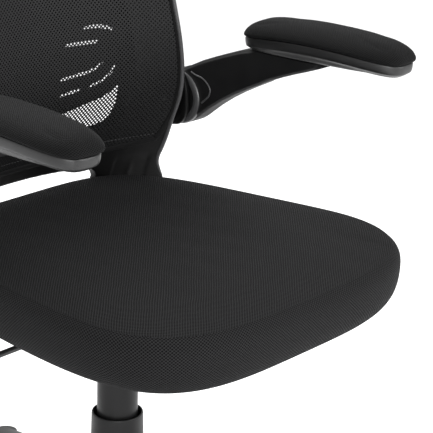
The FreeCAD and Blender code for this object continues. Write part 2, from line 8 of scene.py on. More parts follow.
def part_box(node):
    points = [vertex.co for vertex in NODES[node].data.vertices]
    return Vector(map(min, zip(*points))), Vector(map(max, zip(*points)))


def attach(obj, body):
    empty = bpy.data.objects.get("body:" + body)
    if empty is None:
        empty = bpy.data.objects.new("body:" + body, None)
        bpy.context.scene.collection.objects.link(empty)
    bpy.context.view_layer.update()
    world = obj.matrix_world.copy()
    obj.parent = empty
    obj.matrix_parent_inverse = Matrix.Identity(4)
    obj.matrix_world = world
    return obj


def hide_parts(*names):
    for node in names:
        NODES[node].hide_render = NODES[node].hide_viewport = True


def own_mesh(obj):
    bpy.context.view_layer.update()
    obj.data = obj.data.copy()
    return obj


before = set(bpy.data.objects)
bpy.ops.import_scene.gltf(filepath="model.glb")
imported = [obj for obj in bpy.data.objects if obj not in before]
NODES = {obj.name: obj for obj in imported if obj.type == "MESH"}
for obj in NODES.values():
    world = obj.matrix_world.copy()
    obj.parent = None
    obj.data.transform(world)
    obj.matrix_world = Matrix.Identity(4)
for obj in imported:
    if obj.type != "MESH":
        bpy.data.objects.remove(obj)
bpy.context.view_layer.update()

MM = 0.001
RISE = 20.0  # rest height of the gas lift; the pieces on the seat are drawn with it down
scene = bpy.context.scene
scene.view_settings.view_transform = "Standard"

# --------------------------------------------------------------------- camera
AZ, EL, ROLL = math.radians(-49.92), math.radians(18.57), math.radians(1.49)
cam_data = bpy.data.cameras.new("camera")
cam = bpy.data.objects.new("camera", cam_data)
scene.collection.objects.link(cam)
right = Vector((math.cos(AZ), math.sin(AZ), 0.0))
back = Vector((math.sin(AZ) * math.cos(EL), -math.cos(AZ) * math.cos(EL), math.sin(EL)))
up = back.cross(right)
r2 = right * math.cos(ROLL) + up * math.sin(ROLL)
u2 = up * math.cos(ROLL) - right * math.sin(ROLL)
m = Matrix.Identity(4)
for i in range(3):
    m[i][0], m[i][1], m[i][2] = r2[i], u2[i], back[i]
m[0][3], m[1][3], m[2][3] = -1.63433, -1.53851, 1.23897 + RISE * MM
cam.matrix_world = m
cam_data.sensor_fit = "HORIZONTAL"
cam_data.sensor_width = 36.0
cam_data.lens = 1844.92 / 433.0 * 36.0
cam_data.clip_end = 60.0
scene.camera = cam


# ------------------------------------------------------------------ materials
class Tree:
    """Small helper round one material's node tree."""

    def __init__(self, name):
        self.mat = bpy.data.materials.new(name)
        self.mat.use_nodes = True
        self.nt = self.mat.node_tree
        self.nt.nodes.clear()
        self.out = self.nt.nodes.new("ShaderNodeOutputMaterial")
        self.bsdf = self.nt.nodes.new("ShaderNodeBsdfPrincipled")
        self.nt.links.new(self.bsdf.outputs[0], self.out.inputs[0])

    def node(self, kind, ins=None, **attrs):
        n = self.nt.nodes.new(kind)
        for k, v in attrs.items():
            setattr(n, k, v)
        for k, v in (ins or {}).items():
            if isinstance(v, bpy.types.NodeSocket):
                self.nt.links.new(v, n.inputs[k])
            else:
                n.inputs[k].default_value = v
        return n

    def link(self, a, b):
        self.nt.links.new(a, self.bsdf.inputs[b])

    def set(self, **kw):
        for k, v in kw.items():
            self.bsdf.inputs[k.replace("_", " ")].default_value = v

    def math(self, op, a, b=0.0, c=None):
        ins = {0: a, 1: b}
        if c is not None:
            ins[2] = c
        return self.node("ShaderNodeMath", ins, operation=op).outputs[0]

    def vmath(self, op, a, b=None):
        ins = {0: a}
        if b is not None:
            ins[1] = b
        n = self.node("ShaderNodeVectorMath", ins, operation=op)
        return n.outputs["Value"] if op in ("LENGTH", "DOT_PRODUCT", "DISTANCE") else n.outputs[0]

    def noise(self, vec, scale, detail=2.0, rough=0.5):
        n = self.node("ShaderNodeTexNoise", {"Vector": vec, "Scale": scale, "Detail": detail, "Roughness": rough})
        return n.outputs[0]

    def ramp(self, val, stops):
        n = self.node("ShaderNodeValToRGB", {0: val})
        el = n.color_ramp.elements
        while len(el) < len(stops):
            el.new(0.5)
        for e, (p, c) in zip(el, stops):
            e.position = p
            e.color = (c[0], c[1], c[2], 1.0)
        return n.outputs[0]

    def remap(self, val, a, b, c, d, smooth=False):
        n = self.node("ShaderNodeMapRange", {0: val, 1: a, 2: b, 3: c, 4: d},
                      interpolation_type="SMOOTHSTEP" if smooth else "LINEAR")
        return n.outputs[0]

    def mix(self, fac, a, b):
        n = self.node("ShaderNodeMix", data_type="RGBA")
        for k, v in ((0, fac), (6, a), (7, b)):
            if isinstance(v, bpy.types.NodeSocket):
                self.nt.links.new(v, n.inputs[k])
            else:
                n.inputs[k].default_value = v if k == 0 else (v[0], v[1], v[2], 1.0)
        return n.outputs[2]

    def coords(self):
        return self.node("ShaderNodeTexCoord").outputs["Object"]

    def uv(self):
        return self.node("ShaderNodeTexCoord").outputs["UV"]

    def bump(self, height, strength, distance):
        n = self.node("ShaderNodeBump", {"Height": height, "Strength": strength, "Distance": distance})
        self.link(n.outputs[0], "Normal")

    def dots(self, vec, pu, pv):
        """Distance to the nearest point of a staggered lattice, in lattice units."""
        s = self.vmath("MULTIPLY", vec, (1.0 / pu, 1.0 / pv, 0.0))
        d = []
        for o in (0.0, 0.5):
            q = self.vmath("ADD", s, (o, o, 0.5))
            q = self.vmath("SUBTRACT", self.vmath("FRACTION", q), (0.5, 0.5, 0.5))
            d.append(self.vmath("LENGTH", self.vmath("MULTIPLY", q, (1.0, 1.0, 0.0))))
        return self.math("MINIMUM", d[0], d[1])


def moulded(name, dark, light, r0, r1, grain=1500.0, depth=0.00022, strength=0.16, spec=0.5):
    """Moulded plastic: fine spark-eroded grain, slow tone drift."""
    t = Tree(name)
    c = t.coords()
    slow = t.noise(c, 22.0, 3.0)
    fine = t.noise(c, grain, 3.0, 0.6)
    t.link(t.ramp(slow, [(0.3, dark), (0.7, light)]), "Base Color")
    blotch = t.noise(c, 75.0, 4.0)
    mixd = t.math("ADD", t.math("MULTIPLY", blotch, 0.7), t.math("MULTIPLY", fine, 0.3))
    t.link(t.remap(mixd, 0.3, 0.7, r0, r1), "Roughness")
    t.bump(fine, strength, depth)
    t.set(Specular_IOR_Level=spec)
    return t.mat


def g(v, b=1.03):
    return (v, v, v * b)


def spacer_mesh(name, pu, pv, yarn, hole, sheen=0.12, bump=0.0009, spec=0.25):
    """Knitted spacer fabric: staggered eyelets in a fuzzy yarn ground."""
    t = Tree(name)
    uv, c = t.uv(), t.coords()
    warp = t.node("ShaderNodeTexNoise", {"Vector": c, "Scale": 28.0, "Detail": 1.0}).outputs[1]
    uvw = t.vmath("ADD", uv, t.vmath("MULTIPLY", t.vmath("SUBTRACT", warp, (0.5, 0.5, 0.5)), (0.0022, 0.0022, 0.0)))
    d = t.dots(uvw, pu, pv)
    open_ = t.remap(d, 0.19, 0.34, 1.0, 0.0, True)
    fuzz = t.noise(c, 1900.0, 2.0, 0.7)
    slow = t.noise(c, 9.0, 3.0)
    y = t.ramp(fuzz, [(0.25, yarn[0]), (0.75, yarn[1])])
    y = t.mix(t.remap(slow, 0.3, 0.7, 0.0, 0.35), y, yarn[2])
    t.link(t.mix(open_, y, hole), "Base Color")
    h = t.math("ADD", t.math("SUBTRACT", 1.0, open_), t.math("MULTIPLY", fuzz, 0.35))
    t.bump(h, 0.75, bump)
    t.link(t.remap(open_, 0.0, 1.0, 0.74, 0.95), "Roughness")
    t.set(Specular_IOR_Level=spec, Sheen_Weight=sheen, Sheen_Roughness=0.45, Sheen_Tint=(0.75, 0.77, 0.8, 1.0))
    return t.mat


def metal(name, dark, light, r0, r1, stretch=(300.0, 300.0, 300.0)):
    t = Tree(name)
    c = t.vmath("MULTIPLY", t.coords(), stretch)
    n = t.noise(c, 1.0, 4.0)
    t.link(t.ramp(n, [(0.3, dark), (0.7, light)]), "Base Color")
    t.link(t.remap(n, 0.3, 0.7, r0, r1), "Roughness")
    t.bump(n, 0.12, 0.0001)
    t.set(Metallic=1.0)
    return t.mat


MAT = {}
MAT["frame"] = moulded("mat_frame", g(0.0015), g(0.0026), 0.42, 0.56, spec=0.11)
MAT["arm"] = moulded("mat_arm", g(0.0060), g(0.0086), 0.46, 0.58, depth=0.00012, strength=0.10, spec=0.06)
# painted light: the collar plastic is a much lighter, glossier copy of the arm plastic, standing in for the floor's
# light on the hub collar and the highlight along the raised line
MAT["collar"] = moulded("mat_collar", g(0.0380), g(0.0520), 0.30, 0.42, depth=0.00012, strength=0.10, spec=0.60)
MAT["stitch"] = moulded("mat_stitch", g(0.018), g(0.030), 0.60, 0.75, grain=2400.0, spec=0.2)
MAT["tray"] = moulded("mat_tray", g(0.0040), g(0.0058), 0.34, 0.46, depth=0.00015, strength=0.12, spec=0.46)
# painted shade: a darker, matt copy of the frame plastic, given to the lower rail's upward faces so they read as shaded
MAT["frame_matt"] = moulded("mat_frame_matt", g(0.0012), g(0.0020), 0.70, 0.85, spec=0.0)
MAT["panel"] = moulded("mat_panel", g(0.0010), g(0.0018), 0.52, 0.66, spec=0.02)
MAT["cover"] = moulded("mat_cover", g(0.0046), g(0.0070), 0.36, 0.46, spec=0.20)
MAT["base"] = moulded("mat_base", g(0.0110), g(0.0160), 0.36, 0.50, grain=1100.0, depth=0.0003, strength=0.22, spec=0.28)
MAT["trim"] = moulded("mat_trim", g(0.036), g(0.052), 0.40, 0.55, spec=0.3)
MAT["wheel"] = moulded("mat_wheel", g(0.0090), g(0.0140), 0.34, 0.50)
MAT["dark"] = moulded("mat_dark", g(0.0060), g(0.0100), 0.40, 0.55)
MAT["seat"] = spacer_mesh("mat_seat", 0.0045, 0.0039, (g(0.0076), g(0.0185), g(0.0150)), g(0.0020), sheen=0.01, spec=0.08)
MAT["pad"] = spacer_mesh("mat_pad", 0.0033, 0.0029, (g(0.0031), g(0.0076), g(0.0062)), g(0.0007), sheen=0.015, bump=0.0007, spec=0.09)
MAT["steel"] = metal("mat_steel", g(0.42), g(0.60), 0.26, 0.42)
MAT["zinc"] = metal("mat_zinc", g(0.36), g(0.55), 0.34, 0.52, (140.0, 140.0, 140.0))
MAT["rod"] = metal("mat_rod", g(0.50), g(0.62), 0.14, 0.22, (900.0, 900.0, 40.0))
MAT["black_steel"] = moulded("mat_black_steel", g(0.010), g(0.016), 0.30, 0.42, grain=700.0, depth=0.0003, strength=0.2)


def net_material():
    """Monofilament net: satin strands, small tone changes from strand to strand, and painted shade that darkens the
    lower part of the net.
    """
    t = Tree("mat_net")
    c = t.coords()
    n = t.noise(c, 650.0, 2.0)
    s = t.noise(c, 6.0, 3.0)
    col = t.ramp(n, [(0.3, g(0.0075)), (0.7, g(0.0150))])
    col = t.mix(t.remap(s, 0.3, 0.7, 0.0, 0.4), col, g(0.0160))
    # painted shade: below 720 mm the strands are mixed towards near-black, up to 60 % at 560 mm, for the shade the
    # seat, arms and frame cast on the lower net
    height = t.node("ShaderNodeSeparateXYZ", {0: c}).outputs["Z"]
    t.link(t.mix(t.remap(height, 0.560, 0.720, 0.60, 0.0, True), col, g(0.0022)), "Base Color")
    t.link(t.remap(n, 0.3, 0.7, 0.42, 0.62), "Roughness")
    t.bump(n, 0.2, 0.0002)
    t.set(Specular_IOR_Level=0.10)
    return t.mat


def webbing_material():
    """Tight woven tape for hems."""
    t = Tree("mat_tape")
    c = t.coords()
    d = t.noise(t.vmath("MULTIPLY", c, (500.0, 500.0, 1500.0)), 1.0, 2.0)
    t.link(t.ramp(d, [(0.3, g(0.0024)), (0.7, g(0.0052))]), "Base Color")
    t.link(t.remap(d, 0.3, 0.7, 0.65, 0.85), "Roughness")
    t.bump(d, 0.4, 0.0004)
    t.set(Specular_IOR_Level=0.08)
    return t.mat


def lining_material():
    t = Tree("mat_lining")
    c = t.coords()
    d = t.dots(c, 0.0016, 0.0016)
    n = t.noise(c, 420.0, 3.0)
    t.link(t.mix(t.remap(d, 0.1, 0.3, 1.0, 0.0, True), t.ramp(n, [(0.3, g(0.010)), (0.7, g(0.022))]), g(0.006)),
           "Base Color")
    t.link(t.remap(n, 0.3, 0.7, 0.75, 0.92), "Roughness")
    t.bump(t.math("ADD", n, d), 0.5, 0.0003)
    t.set(Specular_IOR_Level=0.25)
    return t.mat


def ply_material():
    t = Tree("mat_ply")
    c = t.coords()
    w = t.noise(t.vmath("MULTIPLY", c, (6.0, 60.0, 500.0)), 1.0, 5.0)
    t.link(t.ramp(w, [(0.3, (0.32, 0.20, 0.11)), (0.7, (0.50, 0.35, 0.21))]), "Base Color")
    t.link(t.remap(w, 0.3, 0.7, 0.55, 0.75), "Roughness")
    t.bump(w, 0.3, 0.0004)
    return t.mat


MAT["net"] = net_material()
MAT["tape"] = webbing_material()
MAT["lining"] = lining_material()
MAT["ply"] = ply_material()


# ------------------------------------------------------------- mesh utilities
def make(name, verts, faces, mat, uv=None, smooth=True, rise=RISE):
    """New object from millimetre vertices. uv: one (u, v) per face corner, in metres."""
    me = bpy.data.meshes.new(name)
    me.from_pydata([tuple(v) for v in (np.asarray(verts, float) + (0.0, 0.0, rise)) * MM], [], [tuple(int(i) for i in f) for f in faces])
    me.update()
    if uv is not None:
        layer = me.uv_layers.new(name="weave")
        layer.data.foreach_set("uv", np.asarray(uv, np.float32).ravel())
    me.polygons.foreach_set("use_smooth", [smooth] * len(me.polygons))
    me.materials.append(MAT[mat])
    ob = bpy.data.objects.new(name, me)
    scene.collection.objects.link(ob)
    return ob


def baked(ob):
    """Replace an object's mesh by its evaluated one and drop the modifiers."""
    dg = bpy.context.evaluated_depsgraph_get()
    me = bpy.data.meshes.new_from_object(ob.evaluated_get(dg))
    old = ob.data
    ob.modifiers.clear()
    ob.data = me
    bpy.data.meshes.remove(old)
    return ob


def coords_of(me):
    co = np.empty(len(me.vertices) * 3, np.float32)
    me.vertices.foreach_get("co", co)
    return co.reshape(-1, 3).astype(float)


def remeshed(node, name, voxel, rounds, mat, factor=0.5):
    """A soft-edged copy of a CAD solid."""
    me = NODES[node].data.copy()
    me.materials.clear()
    ob = bpy.data.objects.new(name, me)
    scene.collection.objects.link(ob)
    r = ob.modifiers.new("voxel", "REMESH")
    r.mode = "VOXEL"
    r.voxel_size = voxel * MM
    r.use_smooth_shade = True
    s = ob.modifiers.new("soft", "SMOOTH")
    s.factor = factor
    s.iterations = rounds
    baked(ob)
    ob.data.materials.clear()
    ob.data.materials.append(MAT[mat])
    ob.data.polygons.foreach_set("use_smooth", [True] * len(ob.data.polygons))
    return ob


def subdivide(ob, levels=1):
    s = ob.modifiers.new("subdivision", "SUBSURF")
    s.levels = s.render_levels = levels
    return ob


def puff(ob, pins, pressure, cap_mm, frames=20, stiff=14.0):
    """Inflate a closed fabric skin with the cloth solver, then cap how far each point may travel (mm)."""
    grp = ob.vertex_groups.new(name="pin")
    for w in sorted(set(round(float(p), 2) for p in pins)):
        ids = [i for i, p in enumerate(pins) if round(float(p), 2) == w]
        if w > 0:
            grp.add(ids, w, "REPLACE")
    c = ob.modifiers.new("cloth", "CLOTH")
    c.settings.quality = 6
    c.settings.mass = 0.3
    c.settings.tension_stiffness = c.settings.compression_stiffness = stiff
    c.settings.shear_stiffness = 6.0
    c.settings.bending_stiffness = 4.0
    c.settings.use_pressure = True
    c.settings.uniform_pressure_force = pressure
    c.settings.vertex_group_mass = "pin"
    c.settings.effector_weights.gravity = 0.0
    c.collision_settings.use_collision = False
    c.point_cache.frame_start, c.point_cache.frame_end = 1, frames
    for f in range(1, frames + 1):
        scene.frame_set(f)
    dg = bpy.context.evaluated_depsgraph_get()
    ev = ob.evaluated_get(dg)
    new = coords_of(ev.data)
    old = coords_of(ob.data)
    ob.modifiers.remove(c)
    ob.vertex_groups.remove(grp)
    scene.frame_set(1)
    d = new - old
    L = np.linalg.norm(d, axis=1)
    cap = cap_mm * MM
    k = np.where(L > 1e-9, cap * np.tanh(L / cap) / np.maximum(L, 1e-9), 0.0)
    ob.data.vertices.foreach_set("co", (old + d * k[:, None]).astype(np.float32).ravel())
    ob.data.update()


def wave(x, y, seed):
    """Smooth repeatable irregularity, about -1..1."""
    r = np.random.RandomState(seed)
    out = np.zeros_like(x)
    for _ in range(7):
        a, f, p = r.uniform(0, 2 * math.pi), r.uniform(0.006, 0.022), r.uniform(0, 2 * math.pi)
        out = out + np.sin((x * math.cos(a) + y * math.sin(a)) * 2 * math.pi * f + p)
    return out / 4.0


def hermite(knots, t):
    """Smooth curve through (t, v) knots."""
    k = np.asarray(knots, float)
    x, v = k[:, 0], k[:, 1]
    s = np.gradient(v, x)
    t = np.clip(np.asarray(t, float), x[0], x[-1])
    i = np.clip(np.searchsorted(x, t) - 1, 0, len(x) - 2)
    h = x[i + 1] - x[i]
    u = (t - x[i]) / h
    return ((2 * u ** 3 - 3 * u ** 2 + 1) * v[i] + (u ** 3 - 2 * u ** 2 + u) * s[i] * h +
            (-2 * u ** 3 + 3 * u ** 2) * v[i + 1] + (u ** 3 - u ** 2) * s[i + 1] * h)


def chord_curve(pts, n):
    """n points evenly along a smooth curve through pts."""
    p = np.asarray(pts, float)
    t = np.r_[0, np.cumsum(np.linalg.norm(np.diff(p, axis=0), axis=1))]
    f = np.linspace(0, t[-1], max(800, n * 4))
    q = np.stack([hermite(np.c_[t, p[:, k]], f) for k in range(p.shape[1])], 1)
    s = np.r_[0, np.cumsum(np.linalg.norm(np.diff(q, axis=0), axis=1))]
    w = np.linspace(0, s[-1], n)
    return np.stack([np.interp(w, s, q[:, k]) for k in range(p.shape[1])], 1)


# --------------------------------------------------------------- cushion maker
def square_to_plan(n, plan):
    """n x n cell grid on the square, returned as flat u, v coordinates; plan is not used."""
    a = np.linspace(-1, 1, n + 1)
    u, v = np.meshgrid(a, a, indexing="xy")
    return u.ravel(), v.ravel()


def ring_order(n):
    """Vertex ids of the square grid's border, counter-clockwise."""
    i = lambda a, b: b * (n + 1) + a
    r = [i(a, 0) for a in range(n)] + [i(n, b) for b in range(n)]
    r += [i(a, n) for a in range(n, 0, -1)] + [i(0, b) for b in range(n, 0, -1)]
    return np.array(r)


def soft_block(name, n, plan, top_z, rows, cap_rows_at, bottom_z, mat):
    """Closed quad skin: a top panel, side rows and a flat underside.

    plan(u, v, off): square coordinates to x, y. rows: list of (off, dz) from the panel's seam down to the underside edge,
    dz measured from top_z at the seam. Returns object, tag per vertex (0 top, 1.. rows, -1 bottom) and seam ring."""
    a = np.linspace(-1, 1, n + 1)
    u, v = [w.ravel() for w in np.meshgrid(a, a, indexing="xy")]
    off0 = rows[0][0]
    x, y = plan(u, v, off0)
    z = top_z(u, v, x, y)
    V = [np.stack([x, y, z], 1)]
    tag = [np.zeros(len(x))]
    F, UV = [], []
    q = lambda i, j: j * (n + 1) + i
    for j in range(n):
        for i in range(n):
            f = (q(i, j), q(i + 1, j), q(i + 1, j + 1), q(i, j + 1))
            F.append(f)
            UV += [(x[k] * MM, y[k] * MM) for k in f]
    ring = ring_order(n)
    ru, rv = u[ring], v[ring]
    m_ = len(ring)
    prev = ring
    px_, py_ = x[ring], y[ring]
    peri = np.r_[0, np.cumsum(np.hypot(np.diff(np.r_[px_, px_[0]]), np.diff(np.r_[py_, py_[0]])))]
    down = 0.0
    base = len(x)
    zr = z[ring]
    last = np.stack([px_, py_, zr], 1)
    for k, (off, dz) in enumerate(rows[1:], 1):
        xx, yy = plan(ru, rv, off)
        zz = cap_rows_at(zr, dz, xx, yy, k)
        cur = np.stack([xx, yy, zz], 1)
        step = float(np.mean(np.linalg.norm(cur - last, axis=1)))
        ids = base + np.arange(m_)
        V.append(cur)
        tag.append(np.full(m_, float(k)))
        for i in range(m_):
            j = (i + 1) % m_
            F.append((prev[i], ids[i], ids[j], prev[j]))
            UV += [(peri[i] * MM, -down * MM), (peri[i] * MM, -(down + step) * MM),
                   (peri[i + 1] * MM, -(down + step) * MM), (peri[i + 1] * MM, -down * MM)]
        down += step
        base += m_
        prev, last = ids, cur
    # underside: inner grid of the same square, its border is the last row
    inner = {}
    offl = rows[-1][0]
    xb, yb = plan(u, v, offl)
    border = {int(r): int(prev[i]) for i, r in enumerate(ring)}
    extra = []
    for k in range((n + 1) ** 2):
        if k in border:
            inner[k] = border[k]
        else:
            inner[k] = base + len(extra)
            extra.append((xb[k], yb[k], bottom_z(xb[k], yb[k])))
    V.append(np.array(extra))
    tag.append(np.full(len(extra), -1.0))
    for j in range(n):
        for i in range(n):
            f = (q(i, j), q(i, j + 1), q(i + 1, j + 1), q(i + 1, j))
            F.append(tuple(inner[k] for k in f))
            UV += [(xb[k] * MM, yb[k] * MM) for k in f]
    ob = make(name, np.concatenate(V), F, mat, UV)
    return ob, np.concatenate(tag), ring


def superplan(half_x, half_y, e_pos, e_neg, place):
    """Plan curve as a superellipse; place(cx, cy, off) gives x, y from unit plan coordinates."""
    def f(u, v, off):
        m = np.maximum(np.abs(u), np.abs(v))
        s = np.where(m > 1e-9, 1.0 / np.maximum(m, 1e-9), 0.0)
        qu, qv = u * s, v * s
        e = np.where(v >= 0, e_pos, e_neg)
        r = (np.abs(qu) ** e + np.abs(qv) ** e) ** (1.0 / e)
        r = np.where(m > 1e-9, r, 1.0)
        return place(u / r, v / r, off)
    return f


# ------------------------------------------------------------------------ seat
def seat_place(c, s, off):
    y = s * (261.0 - off)
    return c * (254.0 - off - 0.15 * y), y - 61.0


seat_plan = superplan(254, 261, 4.45, 3.55, seat_place)


def seat_droop(y):
    front = np.clip((-(y + 61.0) - 0.35 * 261) / (0.65 * 261), 0, 1)
    return 11.5 * front ** 2


def seat_top(u, v, x, y):
    m = np.maximum(np.abs(u), np.abs(v))
    z = 470.2 - 5.7 * np.clip((m - 0.82) / 0.18, 0, 1) ** 2.2 - seat_droop(y)
    z = z - 3.4 * np.exp(-((x / 130) ** 2 + ((y + 20) / 120) ** 2))
    return z + 0.5 * wave(x, y, 3) * (1 - m ** 6)


SEAT_ROWS = [(8.0, 0.0), (8.7, -1.2), (7.3, -2.1), (4.8, -4.2), (2.6, -7.8), (0.9, -12.8), (0.1, -19.0), (0.2, -27.0), (0.7, -35.5),
             (1.7, -43.5), (3.4, -51.0), (6.0, -58.0), (9.8, -64.5), (15.0, -70.0), (21.6, -74.0), (29.0, -76.6), (37.0, -77.8), (46.0, -78.0), (56.0, -77.8)]
SEAT_HANG = [0, 0, 0, 0, 0, 0, 0, 0.05, 0.15, 0.32, 0.52, 0.72, 0.88, 0.97, 1.0, 0.95, 0.75, 0.35, 0.05]


def seat_rows_z(zr, dz, x, y, k):
    """Side rows; the lower edge hangs a little below the board except where the back legs pass."""
    rear = np.clip((115.0 - y) / 60.0, 0.0, 1.0)
    hang = 4.2 * (1.0 - 0.85 * np.clip((-60.0 - y) / 150.0, 0.0, 1.0))
    return zr + dz - hang * SEAT_HANG[k] * rear


seat, seat_tag, seat_ring = soft_block("seat_cushion_fabric", 88, seat_plan, seat_top, SEAT_ROWS, seat_rows_z,
                                       lambda x, y: 387.2 - seat_droop(y), "seat")
pin = np.ones(len(seat_tag))
pin[seat_tag == 0] = 0.0
pin[seat_ring] = 0.93
for k, w in ((1, 1.0), (2, 0.6), (3, 0.25), (4, 0.12), (5, 0.1), (6, 0.1), (7, 0.1), (8, 0.1), (9, 0.15), (10, 0.2), (11, 0.3), (12, 0.45), (13, 0.7), (14, 0.9)):
    pin[seat_tag == k] = w
puff(seat, pin, 3.0, 2.6)
subdivide(seat)
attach(seat, "seat")
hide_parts("seat_cushion")

# vertex positions of the seat skin, in millimetres
co = coords_of(seat.data) / MM


def tube_along(name, pts, radius, mat, closed=False, sides=8, squash=None, ends=True):
    """Round bead along a 3-D polyline (mm). squash: not used."""
    p = np.asarray(pts, float)
    n = len(p)
    if closed:
        t = np.roll(p, -1, 0) - np.roll(p, 1, 0)
    else:
        t = np.gradient(p, axis=0)
    t /= np.linalg.norm(t, axis=1)[:, None]
    ref = np.array([0.0, 0.0, 1.0]) if abs(t[:, 2]).max() < 0.95 else np.array([0.0, 1.0, 0.0])
    a = np.cross(t, ref)
    a /= np.linalg.norm(a, axis=1)[:, None]
    b = np.cross(a, t)
    r = np.broadcast_to(np.asarray(radius, float), (n,))
    V, F = [], []
    for i in range(n):
        for k in range(sides):
            w = 2 * math.pi * k / sides
            V.append(p[i] + r[i] * (a[i] * math.cos(w) + b[i] * math.sin(w)))
    last = n if closed else n - 1
    for i in range(last):
        j = (i + 1) % n
        for k in range(sides):
            l = (k + 1) % sides
            F.append((i * sides + k, i * sides + l, j * sides + l, j * sides + k))
    if not closed and ends:
        F.append(tuple(range(sides))[::-1])
        F.append(tuple((n - 1) * sides + k for k in range(sides)))
    return make(name, V, F, mat)


# ------------------------------------------------------------------------ back
BACK = [(360, 228), (400, 227), (450, 219.5), (520, 195), (600, 172), (650, 170), (700, 175), (800, 195), (900, 225), (990, 256)]


def back_y(x, z, off=0.0):
    return hermite(BACK, z) - 0.00113 * np.asarray(x, float) ** 2 + off


OUT_UP = [(0, 978), (60, 976), (113, 967), (157, 950), (189, 922), (206, 884), (214, 838), (219.5, 780), (225.5, 713), (230.5, 657),
          (234, 612), (235, 578), (233, 543), (232, 512), (231, 497)]
OUT_LEG = [(231, 497), (230, 485), (231.5, 476), (238, 462), (244, 450), (246, 432)]
RIM = OUT_UP[:-1] + OUT_LEG
NET_UP = [(0, 973), (56, 971), (109, 962), (153, 945), (185, 917), (202, 884), (210, 838), (215.5, 780), (221.5, 713), (226.5, 657),
          (230, 612), (231, 578), (229, 543), (226, 524), (218, 510)]
NET_LOW = [(218, 510), (170, 503), (90, 499), (0, 498)]


def full_loop(upper, lower, n_up, n_low):
    a = chord_curve([(-x, z) for x, z in upper[::-1][:-1]] + upper, n_up)
    b = chord_curve(lower + [(-x, z) for x, z in lower[::-1][1:]], n_low)
    return np.concatenate([a[:-1], b[:-1]])


def inset(loop, d):
    t = np.roll(loop, -1, 0) - np.roll(loop, 1, 0)
    t /= np.linalg.norm(t, axis=1)[:, None]
    nrm = np.stack([t[:, 1], -t[:, 0]], 1)
    return loop + nrm * d


def inside(px, pz, loop):
    r = np.zeros(len(px), bool)
    x0, z0 = loop[:, 0], loop[:, 1]
    x1, z1 = np.roll(x0, -1), np.roll(z0, -1)
    for i in range(len(loop)):
        c = (z0[i] > pz) != (z1[i] > pz)
        if z1[i] != z0[i]:
            xs = (x1[i] - x0[i]) * (pz - z0[i]) / (z1[i] - z0[i]) + x0[i]
            r ^= c & (px < xs)
    return r


net_loop = full_loop(NET_UP, NET_LOW, 420, 130)


def net_lattice(h=2.86, hz=2.95, open_=0.485):
    """Diamond net: every eyelet is one staggered tile, its strands shared with the neighbours."""
    field = inset(net_loop, 3.0)
    nx, nz = int(250 / h) + 1, int(490 / hz) + 1
    corner, V, F = {}, [], []
    I, J = np.meshgrid(np.arange(-nx, nx + 1), np.arange(0, nz), indexing="ij")
    ok = ((I + J) % 2 == 0)
    I, J = I[ok], J[ok]
    X, Z = I * h, 496.0 + J * hz
    keep = inside(X, Z, field)
    I, J, X, Z = I[keep], J[keep], X[keep], Z[keep]

    def point(x, z, lift):
        return (x, float(back_y(x, z, -8.1 - lift)), z)

    cs = {}
    for i, j in zip(I, J):
        for a, b in ((1, 0), (0, 1), (-1, 0), (0, -1)):
            cs.setdefault((int(i + a), int(j + b)), len(cs))
    keys = np.array(list(cs.keys()))
    kx, kz = keys[:, 0] * h, 496.0 + keys[:, 1] * hz
    cv = np.stack([kx, back_y(kx, kz, -8.75), kz], 1)
    base = len(cv)
    hv = []
    o = open_
    for (dx, dz) in ((1, 0), (0, 1), (-1, 0), (0, -1)):
        x, z = X + dx * h * o, Z + dz * hz * o
        hv.append(np.stack([x, back_y(x, z, -8.2), z], 1))
    hv = np.stack(hv, 1).reshape(-1, 3)
    for t, (i, j) in enumerate(zip(I, J)):
        out = [cs[(int(i + a), int(j + b))] for a, b in ((1, 0), (0, 1), (-1, 0), (0, -1))]
        inn = [base + 4 * t + k for k in range(4)]
        for k in range(4):
            l = (k + 1) % 4
            F.append((out[k], inn[k], inn[l], out[l]))
    return make("back_net_weave", np.concatenate([cv, hv]), F, "net")


net = net_lattice()
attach(net, "seat")
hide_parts("back_net")


def hem_band():
    """Folded tape sewn round the net's edge."""
    rows = [(-0.4, -7.6), (0.2, -8.9), (1.6, -9.5), (4.0, -9.6), (6.6, -9.5), (8.2, -9.0), (8.6, -8.2)]
    V, F = [], []
    n = len(net_loop)
    inward = inset(net_loop, 1.0) - net_loop
    wide = 0.40 + 0.60 * np.clip((560.0 - net_loop[:, 1]) / 30.0, 0, 1)
    for d, off in rows:
        q = net_loop + inward * (d * wide)[:, None]
        V.append(np.stack([q[:, 0], back_y(q[:, 0], q[:, 1], off), q[:, 1]], 1))
    for r in range(len(rows) - 1):
        for i in range(n):
            j = (i + 1) % n
            F.append((r * n + i, r * n + j, (r + 1) * n + j, (r + 1) * n + i))
    return make("back_net_hem", np.concatenate(V), F, "tape")


hem = hem_band()
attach(hem, "seat")


def stitches():
    """Lockstitch along the hem: short raised threads."""
    low = chord_curve([(-212, 523), (-170, 520.5), (-90, 517), (0, 516), (90, 517), (170, 520.5), (212, 523)], 84)
    V, F = [], []
    for line, closed in ((low, False),):
        n = len(line)
        for i in range(n if closed else n - 1):
            a, b = line[i], line[(i + 1) % n]
            d = b - a
            L = float(np.hypot(*d))
            d = d / L
            w = np.array([-d[1], d[0]])
            c = (a + b) / 2
            base = len(V)
            for u, r in ((-0.34, 0.35), (-0.2, 1.0), (0.2, 1.0), (0.34, 0.35)):
                for k in range(6):
                    an = 2 * math.pi * k / 6
                    p = c + d * (u * L) + w * (0.62 * r * math.cos(an))
                    V.append((p[0], float(back_y(p[0], p[1], -9.55 - 0.55 * r * math.sin(an))), p[1]))
            for q in range(3):
                for k in range(6):
                    l = (k + 1) % 6
                    F.append((base + q * 6 + k, base + q * 6 + l, base + q * 6 + 6 + l, base + q * 6 + 6 + k))
            F.append(tuple(base + k for k in range(6))[::-1])
            F.append(tuple(base + 18 + k for k in range(6)))
    return make("back_net_stitches", V, F, "stitch")


thread = stitches()
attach(thread, "seat")

